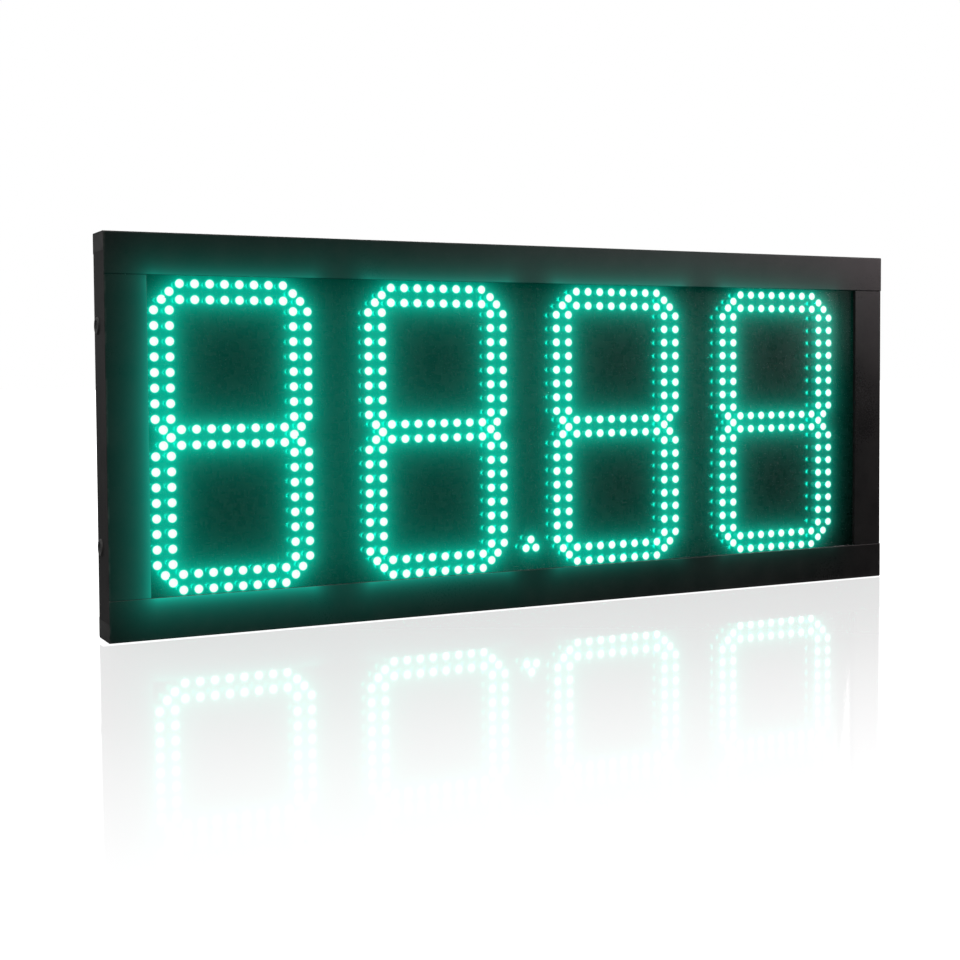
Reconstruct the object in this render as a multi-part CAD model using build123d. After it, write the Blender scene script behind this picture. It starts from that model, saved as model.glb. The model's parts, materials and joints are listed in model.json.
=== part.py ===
from build123d import *
from math import ceil
import os

os.makedirs("parts", exist_ok=True)

# A four-digit number sign with round lamps behind a clear sheet, in a black hollow-profile frame.
# Millimetres. X runs along the sign, Y from its front to its back and Z up.
# The origin is under the middle of the frame, on the face that it stands on.

# Frame profile, the same for the two rails and the two stiles
frame_width = 960.0
frame_height = 396.0
frame_depth = 44.0
rail_face = 41.0
box_width = 20.0
box_wall = 1.6
lip_thickness = 2.0
lip_return = 1.6
flange_width = 10.0
flange_thickness = 1.5
outer_radius = 1.5
lip_radius = 0.8
seam_gap = 0.3

# Lamp field: two rows of lamps to a bar, seven bars to a digit, with lamps that turn its corners
digit_count = 4
digit_shift = 14.5
digit_drop = 1.4
lamp_pitch = 15.2
lamps_in_row = 8
row_gap = 15.6
corner_step = 10.4
lamp_base_radius = 2.95
lamp_height = 8.6
lamp_taper = 9.0
lamp_sides = 6

# Decimal point, on the board of the digit before it
point_after_digit = 2
point_drop = 132.3
point_rise = 9.4
point_spread = 12.5

# Clear sheet and what holds it
sheet_thickness = 3.0
sheet_clearance = 1.0
gasket_thickness = 2.0
gasket_width = 10.0
gasket_inset = 2.0
clip_width = 20.0
clip_foot = 10.0
clip_leg = 12.0
clip_thickness = 1.5
rail_clips = 5
stile_clips = 2

# Boards and the bars that carry them
board_gap = 10.5
board_thickness = 1.6
board_side_gap = 10.0
board_end_gap = 5.0
board_seam = 0.4
board_radius = 2.0
board_screw_inset = 14.0
bar_width = 16.0
bar_depth = 9.0
bar_wall = 1.5
bar_end_clearance = 0.2

# Corner cleats inside the frame
cleat_leg = 45.0
cleat_thickness = 2.5
cleat_clearance = 1.5
cleat_first_screw = 16.0
cleat_second_screw = 34.0
cap_depth = 10.0
cap_wall = 1.5
cap_clearance = 0.15

# Rear cover
cover_thickness = 1.5
cover_clearance = 0.5
cover_screw_margin = 66.0
cover_screw_pitch = 180.0
swage_count = 3
swage_width = 8.0
swage_depth = 1.0
swage_end_margin = 90.0
swage_spacing = 68.0
swage_clearance = 11.0

# Power supply, on the inside of the rear cover
supply_length = 180.0
supply_height = 80.0
supply_depth = 18.0
supply_x = 150.0
supply_z = 125.0
supply_corner = 1.5
supply_bay = 24.0
supply_bay_floor = 4.0
terminal_ways = 7
terminal_pitch = 9.5
terminal_depth = 10.0
terminal_height = 17.0
terminal_barrier = 1.6
supply_wall = 1.5
supply_screw_inset = 12.0

# Control card, on standoffs from the rear cover
card_length = 120.0
card_height = 80.0
card_thickness = 1.6
card_x = -170.0
card_z = 98.0
card_standoff = 6.0
card_screw_inset = 6.0
standoff_flats = 5.5
spigot_radius = 2.2
processor_size = 14.0
card_chip_shift = -26.0
card_chip_heights = (16.0, -6.0)
card_plug_shift = 26.0
card_plug_heights = (30.0, -28.0)

# Parts on the boards
header_length = 30.0
header_width = 9.0
header_depth = 9.0
header_wall = 1.2
header_floor = 2.0
header_key = 4.8
header_spread = 85.0
header_rise = 40.0
chip_length = 10.3
chip_width = 7.5
chip_depth = 2.3
chip_chamfer = 0.4
chip_spread = 40.0
chip_rise = 123.0
chip_rows = 3

# Cable gland in the rear cover
gland_end_gap = 80.0
gland_z = 62.0
gland_thread_radius = 8.0
gland_bore_radius = 4.0
gland_flats = 22.0
gland_flange = 5.0
gland_nut_length = 13.0
gland_skirt_length = 7.8
gland_tip_radius = 6.8
gland_inside = 8.0
gland_washer = 1.5
gland_collar = 9.0
gland_bore_clearance = 0.2
hole_clearance = 0.1

# Blanking grommets in the stiles
grommet_spacing = 216.0
grommet_setback = 14.0
grommet_hole_radius = 7.25
grommet_lip_radius = 8.75
grommet_lip = 1.6
grommet_bevel = 0.7
grommet_rim = 1.4
grommet_wall = 2.2
grommet_membrane = 1.0
grommet_clearance = 0.05

# Fixing inserts in the backs of the rails
insert_spacing = 600.0
insert_bore_radius = 2.55
insert_body_radius = 4.4
insert_bulge_radius = 6.3
insert_flange_radius = 6.5
insert_flange = 1.0
insert_length = 13.0
insert_bulge = 4.0

# Screws
screw_radius = 2.0
screw_hole_radius = 2.15
screw_length = 7.0
hex_flats = 7.0
hex_height = 2.6
head_clearance = 0.3
pan_radius = 3.8
pan_height = 2.4
pan_edge = 0.9
cross_width = 1.0
cross_depth = 1.3
small_screw_radius = 1.5
small_hole_radius = 1.65
small_pan_radius = 2.75
small_pan_height = 1.9

# How far a cut runs past what it cuts
overshoot = 1.0

# Sizes that follow from those above
half_width = frame_width / 2
half_height = frame_height / 2
front_y = -frame_depth / 2
sheet_front = lip_thickness + gasket_thickness
sheet_back = sheet_front + sheet_thickness
board_front = sheet_back + board_gap
board_back = board_front + board_thickness
cover_front = frame_depth - cover_thickness
flange_front = cover_front - flange_thickness
cavity_half_width = half_width - box_width
cavity_half_height = half_height - box_width
digit_pitch = 2 * (cavity_half_width - board_side_gap) / digit_count
board_width = digit_pitch - board_seam
board_height = 2 * (cavity_half_height - board_end_gap)
bar_offset = (board_height - bar_width) / 2
bar_back = board_back + bar_depth
cleat_front = bar_back + cleat_clearance
cleat_back = flange_front - cleat_clearance
cleat_middle = (cleat_front + cleat_back) / 2
flange_middle = box_width + flange_width / 2
swage_start = supply_z + supply_height / 2 + swage_clearance
gland_x = cavity_half_width - gland_end_gap

# Each member of the frame is built lying along its own Z, with X running inward from its outer
# edge and Y back from its front face, and then set in place by one of these planes.
bottom_place = Plane((0, front_y, 0), x_dir=(0, 0, 1), z_dir=(-1, 0, 0))
top_place = Plane((0, front_y, frame_height), x_dir=(0, 0, -1), z_dir=(1, 0, 0))
left_place = Plane((-half_width, front_y, half_height), x_dir=(1, 0, 0), z_dir=(0, 0, 1))
right_place = Plane((half_width, front_y, half_height), x_dir=(-1, 0, 0), z_dir=(0, 0, -1))
rail_places = (bottom_place, top_place)
stile_places = (left_place, right_place)


def write(name, solids):
    export_step(Compound(solids), os.path.join("parts", name + ".step"))


def block(x, y, z):
    # a box between two values on each axis
    size = [high - low for low, high in (x, y, z)]
    middle = [(high + low) / 2 for low, high in (x, y, z)]
    return Pos(*middle) * Box(*size)


def spread(count, span):
    # places from -span/2 to span/2, evenly apart
    return [(i / (count - 1) - 0.5) * span for i in range(count)]


def shared(count, length):
    # the middles of so many equal shares of a length about zero
    return [((i + 0.5) / count - 0.5) * length for i in range(count)]


def toward(point, direction):
    # a place whose Z runs in the direction given
    return Plane(point, z_dir=direction)


def back_of(depth):
    # a distance behind the front face, as a Y value
    return front_y + depth


def facing_front(x, depth, z):
    # a place whose X runs along the sign and whose Z points at the viewer
    return Plane((x, back_of(depth), z), x_dir=(1, 0, 0), z_dir=(0, -1, 0))


def hex_screw(length=screw_length):
    # its head's underside lies at zero and its head stands up along Z
    head = extrude(RegularPolygon(hex_flats / 2, 6, major_radius=False), hex_height)
    return (head + Pos(0, 0, -length / 2) * Cylinder(screw_radius, length)).solid()


def pan_screw(length, radius, head_radius, head_height):
    # a pan head with a cross recess, standing up along Z from zero
    head = Pos(0, 0, head_height / 2) * Cylinder(head_radius, head_height)
    rim = head.edges().filter_by(GeomType.CIRCLE).sort_by(Axis.Z)[-1]
    head = fillet(rim, pan_edge)
    recess = Box(head_radius, cross_width, cross_depth) + Box(cross_width, head_radius, cross_depth)
    head -= Pos(0, 0, head_height - cross_depth / 2) * recess
    return (head + Pos(0, 0, -length / 2) * Cylinder(radius, length)).solid()


# Frame


def profile_section():
    # one extrusion: a hollow box, a lip in front of the sheet and a flange behind the rear cover
    outline = Polyline(
        (0, 0),
        (rail_face, 0),
        (rail_face, lip_thickness + lip_return),
        (rail_face - lip_thickness, lip_thickness + lip_return),
        (rail_face - lip_thickness, lip_thickness),
        (box_width, lip_thickness),
        (box_width, flange_front),
        (box_width + flange_width, flange_front),
        (box_width + flange_width, cover_front),
        (box_width, cover_front),
        (box_width, frame_depth),
        (0, frame_depth),
        close=True,
    )
    section = make_face(outline)
    outer = [v for v in section.vertices() if v.X < outer_radius]
    section = fillet(outer, outer_radius)
    lip = [v for v in section.vertices() if v.X > rail_face - lip_radius and v.Y < lip_radius]
    section = fillet(lip, lip_radius)
    chamber_depth = frame_depth - lip_thickness - box_wall
    chamber = Rectangle(box_width - 2 * box_wall, chamber_depth)
    return section - Pos(box_width / 2, lip_thickness + chamber_depth / 2) * chamber


def across_wall(depth, along):
    # a hole through the wall of a member's box that faces the cavity
    return Pos(box_width, depth, along) * Rot(0, 90, 0) * Cylinder(screw_hole_radius, 3 * box_wall)


def clip_places(on_rail):
    if on_rail:
        return shared(rail_clips, 2 * cavity_half_width)
    return shared(stile_clips, 2 * cavity_half_height)


def cleat_screw_places(half_length):
    # along a member, at both of its ends
    reach = [half_length - d for d in (cleat_first_screw, cleat_second_screw)]
    return reach + [-r for r in reach]


def clip_screw_depth():
    return sheet_back + (clip_leg + clip_thickness) / 2


def bar_screw_depth():
    return board_back + bar_wall + hex_flats / 2 + head_clearance


def wall_holes(member, on_rail):
    for along in clip_places(on_rail):
        member -= across_wall(clip_screw_depth(), along)
    half_length = cavity_half_width if on_rail else cavity_half_height
    for along in cleat_screw_places(half_length):
        member -= across_wall(cleat_middle, along)
    return member


def flange_holes(member, places):
    for along in places:
        hole = Pos(flange_middle, cover_front, along) * Rot(90, 0, 0)
        member -= hole * Cylinder(screw_hole_radius, 4 * flange_thickness)
    return member


def rail_cover_screws():
    span = 2 * (cavity_half_width - cover_screw_margin)
    return spread(ceil(span / cover_screw_pitch) + 1, span)


def stile_cover_screws():
    span = 2 * cavity_half_height
    return shared(ceil(span / cover_screw_pitch), span)


def rail():
    # runs the frame's full width: its lip's return and its flange stop short of the stiles
    bar = extrude(profile_section(), half_width, both=True)
    inner_side = (box_width, rail_face + overshoot)
    for side in (1, -1):
        past_end = side * (half_width + overshoot)
        return_end = sorted((side * (half_width - rail_face + lip_thickness), past_end))
        flange_end = sorted((side * (cavity_half_width - flange_width - seam_gap), past_end))
        bar -= block(inner_side, (lip_thickness, lip_thickness + lip_return + overshoot), return_end)
        bar -= block(inner_side, (flange_front - overshoot, frame_depth + overshoot), flange_end)
    bar = wall_holes(bar, True)
    bar = flange_holes(bar, rail_cover_screws())
    for along in spread(2, insert_spacing):
        hole = Pos(box_width / 2, frame_depth, along) * Rot(90, 0, 0)
        bar -= hole * Cylinder(insert_body_radius + hole_clearance, 4 * box_wall)
    return bar


def stile():
    # stands between the rails' boxes, with its front coped away where the rails' lips cross it
    half_length = cavity_half_height
    bar = extrude(profile_section(), half_length, both=True)
    past_face = rail_face + overshoot
    for side in (1, -1):
        end = sorted((side * (half_height - rail_face - seam_gap), side * (half_length + overshoot)))
        bar -= block((-overshoot, past_face), (-overshoot, lip_thickness), end)
        bar -= block((box_width, past_face), (-overshoot, lip_thickness + lip_return + overshoot), end)
    bar = wall_holes(bar, False)
    bar = flange_holes(bar, stile_cover_screws())
    for along in (bar_offset, -bar_offset):
        bar -= across_wall(bar_screw_depth(), along)
    for along in spread(2, grommet_spacing):
        hole = Pos(0, frame_depth - grommet_setback, along) * Rot(0, 90, 0)
        bar -= hole * Cylinder(grommet_hole_radius, 4 * box_wall)
    return bar


def make_frame():
    for name, place in zip(("bottom_rail", "top_rail"), rail_places):
        write(name, [(place * rail()).solid()])
    for name, place in zip(("left_stile", "right_stile"), stile_places):
        write(name, [(place * stile()).solid()])


def rail_end_cap():
    # a shallow moulded cup pressed into the open end of a rail's box, flush with it
    width = box_width - 2 * (box_wall + cap_clearance)
    depth = frame_depth - lip_thickness - box_wall - 2 * cap_clearance
    middle = (box_width / 2, lip_thickness + (frame_depth - lip_thickness - box_wall) / 2)
    cup = extrude(Pos(*middle) * Rectangle(width, depth), -cap_depth)
    hollow = Pos(*middle) * Rectangle(width - 2 * cap_wall, depth - 2 * cap_wall)
    return Pos(0, 0, half_width) * (cup - Pos(0, 0, -cap_wall) * extrude(hollow, -cap_depth))


def make_caps():
    caps = []
    for place in rail_places:
        for cap in (rail_end_cap(), mirror(rail_end_cap(), Plane.XY)):
            caps.append((place * cap).solid())
    write("rail_end_caps", caps)


def corner_cleat():
    # an angle against the boxes of a rail and a stile, with two screws in each leg
    depth = (cleat_front, cleat_back)
    end = cavity_half_width
    angle = block((box_width, box_width + cleat_thickness), depth, (end - cleat_leg, end))
    angle += block((box_width, box_width + cleat_leg), depth, (end - cleat_thickness, end))
    hole = Cylinder(screw_hole_radius, 4 * cleat_thickness)
    for reach in (cleat_first_screw, cleat_second_screw):
        angle -= Pos(box_width, cleat_middle, end - reach) * Rot(0, 90, 0) * hole
        angle -= Pos(box_width + reach, cleat_middle, end) * hole
    return angle


def corner_screws():
    # the four screws of one cleat
    end = cavity_half_width
    screws = []
    for reach in (cleat_first_screw, cleat_second_screw):
        in_rail = toward((box_width + cleat_thickness, cleat_middle, end - reach), (1, 0, 0))
        in_stile = toward((box_width + reach, cleat_middle, end - cleat_thickness), (0, 0, -1))
        screws += [in_rail * hex_screw(), in_stile * hex_screw()]
    return screws


def make_cleats():
    cleats = []
    screws = []
    for place in rail_places:
        cleats.append((place * corner_cleat()).solid())
        cleats.append((place * mirror(corner_cleat(), Plane.XY)).solid())
        for screw in corner_screws():
            screws.append((place * screw).solid())
            screws.append((place * mirror(screw, Plane.XY)).solid())
    write("corner_cleats", cleats)
    write("corner_screws", screws)


# Clear sheet


def make_window():
    width = 2 * (cavity_half_width - sheet_clearance)
    height = 2 * (cavity_half_height - sheet_clearance)
    depth = (back_of(sheet_front), back_of(sheet_back))
    sheet = block((-width / 2, width / 2), depth, (half_height - height / 2, half_height + height / 2))
    write("front_window", [sheet.solid()])


def make_gasket():
    # a flat ring between the frame's lip and the sheet
    outer = (2 * (cavity_half_width - gasket_inset), 2 * (cavity_half_height - gasket_inset))
    inner = [size - 2 * gasket_width for size in outer]
    ring = facing_front(0, lip_thickness, half_height) * (Rectangle(*outer) - Rectangle(*inner))
    write("window_gasket", [extrude(ring, -gasket_thickness).solid()])


def sheet_clip():
    # an angle screwed to the box, with a foot on the back of the sheet
    wide = (-clip_width / 2, clip_width / 2)
    clip = block((box_width, box_width + clip_foot), (sheet_back, sheet_back + clip_thickness), wide)
    clip += block((box_width, box_width + clip_thickness), (sheet_back, sheet_back + clip_leg), wide)
    hole = Cylinder(screw_hole_radius, 4 * clip_thickness)
    return clip - Pos(box_width, clip_screw_depth(), 0) * Rot(0, 90, 0) * hole


def make_clips():
    clips = []
    screws = []
    screw_place = toward((box_width + clip_thickness, clip_screw_depth(), 0), (1, 0, 0))
    for places, is_rail in ((rail_places, True), (stile_places, False)):
        for place in places:
            for along in clip_places(is_rail):
                clips.append((place * Pos(0, 0, along) * sheet_clip()).solid())
                screws.append((place * Pos(0, 0, along) * (screw_place * hex_screw())).solid())
    write("sheet_clips", clips)
    write("clip_screws", screws)


# Boards and lamps


def board_middle(digit):
    return (digit - (digit_count - 1) / 2) * digit_pitch


def digit_middle(digit):
    return board_middle(digit) - digit_shift


def lamp_places():
    # centres of one digit's lamps, as x and z from the digit's middle
    half_row = (lamps_in_row - 1) / 2 * lamp_pitch
    row = [i * lamp_pitch - half_row for i in range(lamps_in_row)]
    bar_middle = row_gap / 2 + corner_step + half_row
    wide = half_row + corner_step + row_gap
    high = bar_middle + half_row + corner_step + row_gap
    inside = wide - row_gap
    between = wide - row_gap / 2
    places = []
    for up in (1, -1):
        for z in (high, high - row_gap, row_gap / 2):
            places += [(x, up * z) for x in row]
        for side in (1, -1):
            for x in (wide, inside):
                places += [(side * x, up * (z + bar_middle)) for z in row]
            places.append((side * inside, up * (high - row_gap / 2)))
            places.append((side * between, up * (high - row_gap)))
            places.append((side * between, up * row_gap / 2))
    return places + [(inside, 0.0), (-inside, 0.0)]


def lamp():
    # a moulded lamp as a tapered six-sided solid, which stands on a board and points forward
    return extrude(RegularPolygon(lamp_base_radius, lamp_sides), lamp_height, taper=lamp_taper).solid()


def lamps_at(places, middle):
    face = Rot(90, 0, 0)
    one = lamp()
    centre = half_height - digit_drop
    return [Pos(middle + x, back_of(board_front), centre + z) * face * one for x, z in places]


def board_screw_places(digit):
    reach = board_width / 2 - board_screw_inset
    middle = board_middle(digit)
    return [(middle + x, half_height + z) for x in (-reach, reach) for z in (-bar_offset, bar_offset)]


def small_hole(x, depth, z, length):
    return Pos(x, back_of(depth), z) * Rot(90, 0, 0) * Cylinder(small_hole_radius, length)


def board(digit):
    face = RectangleRounded(board_width, board_height, board_radius)
    plate = extrude(facing_front(board_middle(digit), board_front, half_height) * face, -board_thickness)
    for x, z in board_screw_places(digit):
        plate -= small_hole(x, board_front, z, 4 * board_thickness)
    return plate.solid()


def chips(digit):
    # driver chips on the back of a board
    solids = []
    for x in (-chip_spread, chip_spread):
        for z in spread(chip_rows, chip_rise * (chip_rows - 1)):
            middle = Pos(digit_middle(digit) + x, back_of(board_back + chip_depth / 2), half_height + z)
            body = Box(chip_length, chip_depth, chip_width)
            rim = body.faces().sort_by(Axis.Y)[-1].edges()
            solids.append((middle * chamfer(rim, chip_chamfer)).solid())
    return solids


def box_header():
    # a shrouded plug for flat cable, open along Y, with a keyway in its wall
    long = header_length / 2
    wide = header_width / 2
    inside = (long - header_wall, wide - header_wall)
    depth = (header_floor, header_depth + overshoot)
    shroud = block((-long, long), (0, header_depth), (-wide, wide))
    shroud -= block((-inside[0], inside[0]), depth, (-inside[1], inside[1]))
    return shroud - block((-header_key / 2, header_key / 2), depth, (0, header_width))


def make_digit(digit):
    name = "digit_%d_" % (digit + 1)
    write(name + "board", [board(digit)])
    write(name + "lamps", lamps_at(lamp_places(), digit_middle(digit)))
    write(name + "drivers", chips(digit))
    headers = []
    for x in (-header_spread, header_spread):
        place = Pos(board_middle(digit) + x, back_of(board_back), half_height + header_rise)
        headers.append((place * box_header()).solid())
    write(name + "connectors", headers)


def make_point():
    # three lamps in a triangle, half way to the next digit
    places = [(side * point_spread / 2, -point_drop) for side in (1, -1)]
    places.append((0, point_rise - point_drop))
    middle = digit_middle(point_after_digit - 1) + digit_pitch / 2
    write("decimal_point_lamps", lamps_at(places, middle))


def crossbar(height):
    # a folded channel with closed ends, which spans the frame behind the boards
    long = cavity_half_width - bar_end_clearance
    wide = bar_width / 2
    front = back_of(board_back)
    bar = block((-long, long), (front, front + bar_depth), (height - wide, height + wide))
    bar -= block(
        (bar_wall - long, long - bar_wall),
        (front + bar_wall, front + bar_depth + overshoot),
        (height - wide + bar_wall, height + wide - bar_wall),
    )
    for digit in range(digit_count):
        for x in sorted({place[0] for place in board_screw_places(digit)}):
            bar -= small_hole(x, board_back, height, 4 * bar_wall)
    end_hole = Pos(0, back_of(bar_screw_depth()), height) * Rot(0, 90, 0)
    return (bar - end_hole * Cylinder(screw_hole_radius, 2 * (long + overshoot))).solid()


def make_crossbars():
    reach = cavity_half_width - bar_end_clearance - bar_wall
    screws = []
    for name, up in (("upper_crossbar", 1), ("lower_crossbar", -1)):
        height = half_height + up * bar_offset
        write(name, [crossbar(height)])
        for side in (1, -1):
            point = (side * reach, back_of(bar_screw_depth()), height)
            screws.append((toward(point, (-side, 0, 0)) * hex_screw()).solid())
    write("crossbar_screws", screws)


def make_board_screws():
    one = pan_screw(screw_length, small_screw_radius, small_pan_radius, small_pan_height)
    screws = []
    for digit in range(digit_count):
        for x, z in board_screw_places(digit):
            screws.append((toward((x, back_of(board_front), z), (0, -1, 0)) * one).solid())
    write("board_screws", screws)


# Rear cover and what it carries


def supply_screw_places():
    reach = (supply_length / 2 - supply_bay - supply_screw_inset, supply_height / 2 - supply_screw_inset)
    middle = supply_x + supply_bay / 2
    return [(middle + x, supply_z + z) for x in (-reach[0], reach[0]) for z in (-reach[1], reach[1])]


def card_screw_places():
    reach = (card_length / 2 - card_screw_inset, card_height / 2 - card_screw_inset)
    return [(card_x + x, card_z + z) for x in (-reach[0], reach[0]) for z in (-reach[1], reach[1])]


def cover_screw_places():
    places = []
    side = half_width - flange_middle
    for x in rail_cover_screws():
        places += [(x, flange_middle), (x, frame_height - flange_middle)]
    for z in stile_cover_screws():
        places += [(side, half_height + z), (-side, half_height + z)]
    return places


def rear_hole(x, z, radius):
    return Pos(x, back_of(frame_depth), z) * Rot(90, 0, 0) * Cylinder(radius, 6 * cover_thickness)


def make_cover():
    # a pressed sheet, flush between the boxes, with long swages that keep it from drumming
    wide = cavity_half_width - cover_clearance
    high = cavity_half_height - cover_clearance
    depth = (back_of(cover_front), back_of(frame_depth))
    sheet = block((-wide, wide), depth, (half_height - high, half_height + high))
    length = 2 * (cavity_half_width - swage_end_margin)
    ridge = SlotOverall(length + 2 * cover_thickness, swage_width + 2 * cover_thickness)
    groove = SlotOverall(length, swage_width)
    for i in range(swage_count):
        height = swage_start + i * swage_spacing
        sheet += extrude(facing_front(0, cover_front, height) * ridge, swage_depth)
        sheet -= extrude(facing_front(0, frame_depth, height) * groove, swage_depth)
    for x, z in cover_screw_places() + supply_screw_places():
        sheet -= rear_hole(x, z, screw_hole_radius)
    for x, z in card_screw_places():
        sheet -= rear_hole(x, z, spigot_radius + hole_clearance)
    sheet -= rear_hole(gland_x, gland_z, gland_thread_radius + hole_clearance)
    write("rear_cover", [sheet.solid()])


def make_cover_screws():
    one = pan_screw(screw_length, screw_radius, pan_radius, pan_height)
    for name, places in (("rear_cover", cover_screw_places()), ("power_supply", supply_screw_places())):
        heads = [toward((x, back_of(frame_depth), z), (0, 1, 0)) for x, z in places]
        write(name + "_screws", [(head * one).solid() for head in heads])


def make_supply():
    # a closed slim case with a bay for the terminals at its left-hand end
    left = supply_x - supply_length / 2
    right = supply_x + supply_length / 2
    depth = (back_of(cover_front - supply_depth), back_of(cover_front))
    case = block((left, right), depth, (supply_z - supply_height / 2, supply_z + supply_height / 2))
    case = fillet(case.faces().sort_by(Axis.Y)[0].edges(), supply_corner)
    bay_height = (supply_z - supply_height / 2 + supply_wall, supply_z + supply_height / 2 - supply_wall)
    floor = back_of(cover_front - supply_bay_floor)
    bay_depth = (depth[0] - overshoot, floor)
    case -= block((left - overshoot, left + supply_bay), bay_depth, bay_height)
    for x, z in supply_screw_places():
        hole = Pos(x, back_of(cover_front), z) * Rot(90, 0, 0)
        case -= hole * Cylinder(screw_hole_radius, 2 * screw_length)
    write("power_supply", [case.solid()])
    span = terminal_ways * terminal_pitch
    back = left + supply_bay - supply_wall
    top = floor - terminal_depth
    strip = block((back - terminal_height, back), (top, floor), (supply_z - span / 2, supply_z + span / 2))
    for z in shared(terminal_ways, span):
        way = (terminal_pitch - terminal_barrier) / 2
        well = block(
            (back - terminal_height - overshoot, back - terminal_barrier),
            (top - overshoot, floor - terminal_depth / 2),
            (supply_z + z - way, supply_z + z + way),
        )
        strip -= well
    write("power_supply_terminals", [strip.solid()])


def make_card():
    front = cover_front - card_standoff - card_thickness
    face = Rectangle(card_length, card_height)
    card = extrude(facing_front(card_x, front, card_z) * face, -card_thickness)
    standoffs = []
    screws = []
    one = pan_screw(screw_length, small_screw_radius, small_pan_radius, small_pan_height)
    for x, z in card_screw_places():
        card -= small_hole(x, front, z, 4 * card_thickness)
        place = toward((x, back_of(cover_front), z), (0, -1, 0))
        post = extrude(RegularPolygon(standoff_flats / 2, 6, major_radius=False), card_standoff)
        post += Pos(0, 0, -cover_thickness / 2) * Cylinder(spigot_radius, cover_thickness)
        post -= Cylinder(small_hole_radius, 4 * card_standoff)
        standoffs.append((place * post).solid())
        screws.append((toward((x, back_of(front), z), (0, -1, 0)) * one).solid())
    write("control_card", [card.solid()])
    write("control_card_standoffs", standoffs)
    write("control_card_screws", screws)


def card_chip(x, z, length, width):
    face = back_of(cover_front - card_standoff - card_thickness)
    body = Box(length, chip_depth, width)
    rim = body.faces().sort_by(Axis.Y)[0].edges()
    return (Pos(card_x + x, face - chip_depth / 2, card_z + z) * chamfer(rim, chip_chamfer)).solid()


def make_card_parts():
    # a processor, two driver chips, two flat-cable plugs and a power plug, on the card's front
    parts = [card_chip(0, 0, processor_size, processor_size)]
    parts += [card_chip(card_chip_shift, z, chip_length, chip_width) for z in card_chip_heights]
    write("control_card_chips", parts)
    face = back_of(cover_front - card_standoff - card_thickness)
    upper, lower = card_plug_heights
    plugs = []
    for x, z in ((-card_plug_shift, upper), (card_plug_shift, upper), (card_plug_shift, lower)):
        plugs.append((Pos(card_x + x, face, card_z + z) * Rot(180, 0, 0) * box_header()).solid())
    write("control_card_connectors", plugs)


# Gland, grommets and inserts


def make_gland():
    # all four pieces are turned about one axis, which runs back through the rear cover
    axis = Plane((gland_x, back_of(frame_depth), gland_z), x_dir=(1, 0, 0), z_dir=(0, 1, 0))
    hexagon = RegularPolygon(gland_flats / 2, 6, major_radius=False)
    flange_back = gland_washer + gland_flange
    inside = cover_thickness + gland_inside
    body = Pos(0, 0, gland_washer) * extrude(hexagon, gland_flange)
    body += Pos(0, 0, (gland_washer - inside) / 2) * Cylinder(gland_thread_radius, inside + gland_washer)
    body += Pos(0, 0, flange_back + gland_collar / 2) * Cylinder(gland_thread_radius, gland_collar)
    body -= Cylinder(gland_bore_radius, 6 * gland_nut_length)
    write("gland_body", [(axis * body).solid()])

    skirt = gland_flats / 2
    dome = make_face(Polyline(
        (0, flange_back),
        (skirt, flange_back),
        (skirt, flange_back + gland_skirt_length),
        (gland_tip_radius, flange_back + gland_nut_length),
        (0, flange_back + gland_nut_length),
        close=True,
    ))
    nut = revolve(Plane.XZ * dome, Axis.Z)
    nut -= Pos(0, 0, flange_back + gland_collar / 2) * Cylinder(gland_thread_radius, gland_collar)
    nut -= Cylinder(gland_bore_radius + gland_bore_clearance, 6 * gland_nut_length)
    write("gland_dome_nut", [(axis * nut).solid()])

    ring = Circle(gland_flats / 2) - Circle(gland_thread_radius)
    write("gland_washer", [(axis * extrude(ring, gland_washer)).solid()])

    lock = extrude(hexagon - Circle(gland_thread_radius), gland_flange)
    write("gland_lock_nut", [(axis * Pos(0, 0, -cover_thickness - gland_flange) * lock).solid()])


def grommet():
    # a dished rubber plug snapped into the wall, with its outer lip standing proud
    groove = grommet_hole_radius - grommet_clearance
    section = make_face(Polyline(
        (0, 0),
        (groove - grommet_wall, 0),
        (groove - grommet_rim, grommet_lip),
        (grommet_lip_radius - grommet_bevel, grommet_lip),
        (grommet_lip_radius, 0),
        (groove, 0),
        (groove, -box_wall),
        (grommet_lip_radius, -box_wall),
        (groove, -box_wall - grommet_lip),
        (groove - grommet_rim, -box_wall - grommet_lip),
        (groove - grommet_wall, -grommet_membrane),
        (0, -grommet_membrane),
        close=True,
    ))
    return revolve(Plane.XZ * section, Axis.Z)


def make_grommets():
    plugs = []
    for place in stile_places:
        for along in spread(2, grommet_spacing):
            point = toward((0, frame_depth - grommet_setback, along), (-1, 0, 0))
            plugs.append((place * (point * grommet())).solid())
    write("side_grommets", plugs)


def fixing_insert():
    # a rivet nut, drawn up behind the wall of the box
    body = insert_body_radius
    section = make_face(Polyline(
        (insert_bore_radius, insert_flange),
        (insert_flange_radius, insert_flange),
        (insert_flange_radius, 0),
        (body, 0),
        (body, -box_wall),
        (insert_bulge_radius, -box_wall),
        (body, -box_wall - insert_bulge),
        (body, -insert_length),
        (insert_bore_radius, -insert_length),
        close=True,
    ))
    return revolve(Plane.XZ * section, Axis.Z)


def make_inserts():
    inserts = []
    for place in rail_places:
        for along in spread(2, insert_spacing):
            point = toward((box_width / 2, frame_depth, along), (0, 1, 0))
            inserts.append((place * (point * fixing_insert())).solid())
    write("fixing_inserts", inserts)


make_frame()
make_caps()
make_cleats()
make_window()
make_gasket()
make_clips()
for number in range(digit_count):
    make_digit(number)
make_point()
make_crossbars()
make_board_screws()
make_cover()
make_cover_screws()
make_supply()
make_card()
make_card_parts()
make_gland()
make_grommets()
make_inserts()
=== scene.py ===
import bpy
import json
import numpy as np
from math import radians
from mathutils import Euler, Matrix, Vector


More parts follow.
